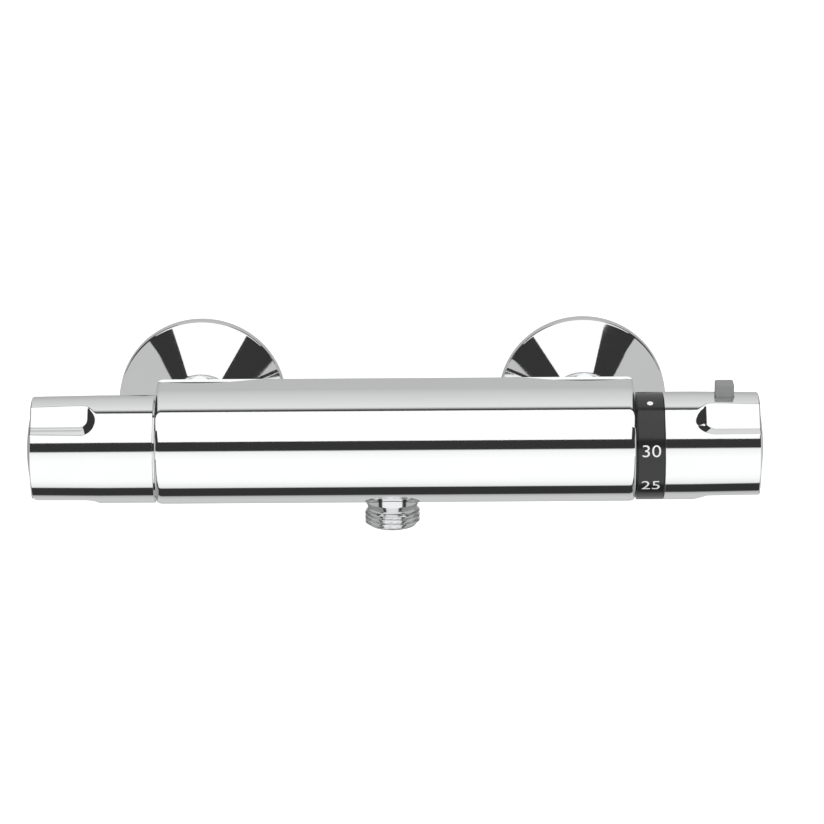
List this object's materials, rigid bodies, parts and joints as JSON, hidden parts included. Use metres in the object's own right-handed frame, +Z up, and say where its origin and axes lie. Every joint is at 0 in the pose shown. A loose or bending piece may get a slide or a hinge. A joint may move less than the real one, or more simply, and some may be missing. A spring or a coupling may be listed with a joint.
{
  "type": "thermostatic shower valve",
  "caption": "Exposed chrome thermostatic shower bar valve with flow and temperature handles, scale ring, safety button, bottom outlet and wall rosettes.",
  "frame": {"origin": "on the finished wall, midway between the axes of the two half inch supply threads", "axes": "+X along the bar towards the temperature handle, +Y into the wall, +Z up"},
  "size_m": [0.2796, 0.104, 0.0658],
  "materials": {
    "chrome": "mirror chrome plating on cast and turned brass",
    "handle_chrome": "mirror chrome plating on die-cast zinc",
    "scale_plastic": "satin black plastic with printed white marks",
    "button_plastic": "satin grey plastic",
    "white_dot": "white paint",
    "brass": "turned brass",
    "copper_wax": "copper cup filled with wax",
    "steel": "stainless steel wire, sheet and screws",
    "ceramic": "lapped alumina",
    "rubber": "black moulded rubber",
    "valve_plastic": "natural moulded plastic",
    "cartridge_plastic": "dark grey moulded plastic"
  },
  "bodies": {
    "valve_body": {"body": "chrome", "index_mark": "white_dot", "outlet_nipple": "chrome", "inlet_nipple_left": "chrome", "inlet_nipple_right": "chrome", "union_nut_left": "chrome", "union_nut_right": "chrome", "inlet_strainer_left": "rubber", "inlet_strainer_right": "rubber", "offset_union_left": "chrome", "offset_union_right": "chrome", "rosette_left": "chrome", "rosette_right": "chrome", "check_valve_cage_left": "valve_plastic", "check_valve_cage_right": "valve_plastic", "check_valve_seal_left": "rubber", "check_valve_seal_right": "rubber", "check_valve_spring_left": "steel", "check_valve_spring_right": "steel", "flow_headwork": "brass", "headwork_seal": "rubber", "flow_trim_ring": "chrome", "fixed_disc": "ceramic", "disc_seat_seal": "rubber", "mixed_water_tube": "valve_plastic", "tube_seals": "rubber", "thermostat_housing": "cartridge_plastic", "thermostat_head": "brass", "thermostat_nut": "brass", "thermostat_seals": "rubber", "thermostat_filters": "steel", "stop_ring": "cartridge_plastic", "return_spring": "steel"},
    "flow_handle": {"flow_handle": "handle_chrome", "flow_handle_cap": "handle_chrome", "flow_handle_screw": "steel", "flow_spindle": "brass", "moving_disc": "ceramic", "flow_spindle_seals": "rubber", "spindle_clip": "steel"},
    "temperature_handle": {"temperature_handle": "handle_chrome", "scale_ring": "scale_plastic", "temperature_handle_cap": "handle_chrome", "temperature_handle_screw": "steel", "regulating_spindle": "brass", "temperature_spindle_seal": "rubber", "button_spring": "steel"},
    "safety_button": {"safety_button": "button_plastic"},
    "thermostat_slide": {"wax_element": "copper_wax", "shuttle": "valve_plastic", "overload_carrier": "brass", "overload_spring": "steel"},
    "check_poppet_left": {"check_valve_poppet_left": "valve_plastic"},
    "check_poppet_right": {"check_valve_poppet_right": "valve_plastic"}
  },
  "joints": [
    {"name": "flow_turn", "type": "hinge", "parent": "valve_body", "child": "flow_handle", "pos_m": [-0.113, -0.065, -0.008], "axis": [-1, 0, 0], "range_deg": [0, 90]},
    {"name": "temperature_turn", "type": "hinge", "parent": "valve_body", "child": "temperature_handle", "pos_m": [0.12, -0.065, -0.008], "axis": [1, 0, 0], "range_deg": [-165, 75]},
    {"name": "button_press", "type": "slide", "parent": "temperature_handle", "child": "safety_button", "axis": [0, 0, -1], "range_m": [0, 0.0025], "stiffness_N_per_m": 800, "springref_m": -0.003, "deforming": ["button_spring"]},
    {"name": "thermostat_shift", "type": "slide", "parent": "valve_body", "child": "thermostat_slide", "axis": [1, 0, 0], "range_m": [-0.001, 0.0005], "deforming": ["return_spring"]},
    {"name": "check_valve_left", "type": "slide", "parent": "valve_body", "child": "check_poppet_left", "axis": [0, -1, 0], "range_m": [0, 0.0035], "stiffness_N_per_m": 80, "springref_m": -0.01, "deforming": ["check_valve_spring_left"]},
    {"name": "check_valve_right", "type": "slide", "parent": "valve_body", "child": "check_poppet_right", "axis": [0, -1, 0], "range_m": [0, 0.0035], "stiffness_N_per_m": 80, "springref_m": -0.01, "deforming": ["check_valve_spring_right"]}
  ],
  "couplings": [
    {"joint": "thermostat_shift", "follows": "temperature_turn", "m_per_rad": 0.000318}
  ]
}
